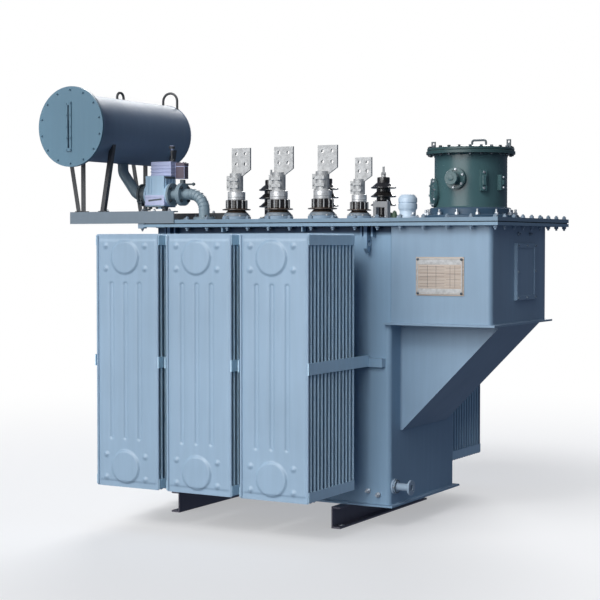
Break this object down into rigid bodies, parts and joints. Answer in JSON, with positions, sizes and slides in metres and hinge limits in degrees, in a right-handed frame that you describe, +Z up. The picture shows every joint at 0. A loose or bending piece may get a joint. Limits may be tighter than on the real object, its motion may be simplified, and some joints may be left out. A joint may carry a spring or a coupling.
{
  "type": "power transformer",
  "caption": "Oil-immersed power transformer with panel radiators, an on-load tap changer compartment, a conservator with gas relay, and high- and low-voltage bushings on a bolted cover.",
  "frame": {"origin": "centre of the four foundation bolt holes, at the underside of the skids", "axes": "+X along the tank towards the tap changer compartment, -Y towards the low-voltage side, +Z up"},
  "size_m": [3.335, 2.628, 2.946],
  "materials": {
    "beam_clamps": "semi-gloss blue-grey paint",
    "conservator_beam_front": "semi-gloss blue-grey paint",
    "conservator_beam_rear": "semi-gloss blue-grey paint",
    "conservator_cover": "semi-gloss blue-grey paint",
    "conservator_drum": "semi-gloss blue-grey paint",
    "conservator_frame_front": "semi-gloss blue-grey paint",
    "conservator_frame_rear": "semi-gloss blue-grey paint",
    "conservator_loops": "semi-gloss blue-grey paint",
    "cover_plate": "semi-gloss blue-grey paint",
    "drain_valve": "semi-gloss blue-grey paint",
    "earth_studs": "plated",
    "gas_relay": "gloss",
    "gas_relay_head": "gloss",
    "guard_bracket": "satin",
    "hv_bushings": "glazed",
    "lifting_hooks": "semi-gloss blue-grey paint",
    "lv_bushings": "glazed",
    "lv_terminals": "tinned",
    "nameplate": "etched plate",
    "oil_gauge": "sight glass in a painted frame",
    "oil_pipe_lower": "semi-gloss blue-grey paint",
    "oil_pipe_upper": "semi-gloss blue-grey paint",
    "radiator_front_1": "semi-gloss blue-grey paint",
    "radiator_front_2": "semi-gloss blue-grey paint",
    "radiator_front_3": "semi-gloss blue-grey paint",
    "radiator_rear_1": "semi-gloss blue-grey paint",
    "radiator_rear_2": "semi-gloss blue-grey paint",
    "radiator_rear_3": "semi-gloss blue-grey paint",
    "radiator_straps": "semi-gloss blue-grey paint",
    "radiator_valves": "semi-gloss blue-grey paint",
    "relief_valve": "gloss",
    "rim_gasket": "matt",
    "rim_gussets": "semi-gloss blue-grey paint",
    "shutoff_valve": "semi-gloss blue-grey paint",
    "skid_left": "satin black paint",
    "skid_right": "satin black paint",
    "tank_base_plate": "semi-gloss blue-grey paint",
    "tank_body": "semi-gloss blue-grey paint",
    "tank_ribs": "semi-gloss blue-grey paint",
    "tank_rim": "semi-gloss blue-grey paint",
    "tap_box": "semi-gloss blue-grey paint",
    "tap_box_base": "semi-gloss blue-grey paint",
    "tap_box_hatch": "semi-gloss blue-grey paint",
    "tap_box_wedge": "semi-gloss blue-grey paint",
    "tap_head_base": "semi-gloss blue-grey paint",
    "tap_head_body": "satin",
    "tap_head_handle": "semi-gloss blue-grey paint",
    "tap_head_lid": "satin",
    "tap_head_ports": "semi-gloss blue-grey paint",
    "thermometer_pocket": "dull"
  },
  "bodies": {
    "root": {"beam_clamps": "beam_clamps", "conservator_beam_front": "conservator_beam_front", "conservator_beam_rear": "conservator_beam_rear", "conservator_cover": "conservator_cover", "conservator_drum": "conservator_drum", "conservator_frame_front": "conservator_frame_front", "conservator_frame_rear": "conservator_frame_rear", "conservator_loops": "conservator_loops", "cover_plate": "cover_plate", "drain_valve": "drain_valve", "earth_studs": "earth_studs", "gas_relay": "gas_relay", "gas_relay_head": "gas_relay_head", "guard_bracket": "guard_bracket", "hv_bushings": "hv_bushings", "lifting_hooks": "lifting_hooks", "lv_bushings": "lv_bushings", "lv_terminals": "lv_terminals", "nameplate": "nameplate", "oil_gauge": "oil_gauge", "oil_pipe_lower": "oil_pipe_lower", "oil_pipe_upper": "oil_pipe_upper", "radiator_front_1": "radiator_front_1", "radiator_front_2": "radiator_front_2", "radiator_front_3": "radiator_front_3", "radiator_rear_1": "radiator_rear_1", "radiator_rear_2": "radiator_rear_2", "radiator_rear_3": "radiator_rear_3", "radiator_straps": "radiator_straps", "radiator_valves": "radiator_valves", "relief_valve": "relief_valve", "rim_gasket": "rim_gasket", "rim_gussets": "rim_gussets", "shutoff_valve": "shutoff_valve", "skid_left": "skid_left", "skid_right": "skid_right", "tank_base_plate": "tank_base_plate", "tank_body": "tank_body", "tank_ribs": "tank_ribs", "tank_rim": "tank_rim", "tap_box": "tap_box", "tap_box_base": "tap_box_base", "tap_box_hatch": "tap_box_hatch", "tap_box_wedge": "tap_box_wedge", "tap_head_base": "tap_head_base", "tap_head_body": "tap_head_body", "tap_head_handle": "tap_head_handle", "tap_head_lid": "tap_head_lid", "tap_head_ports": "tap_head_ports", "thermometer_pocket": "thermometer_pocket"}
  },
  "joints": []
}
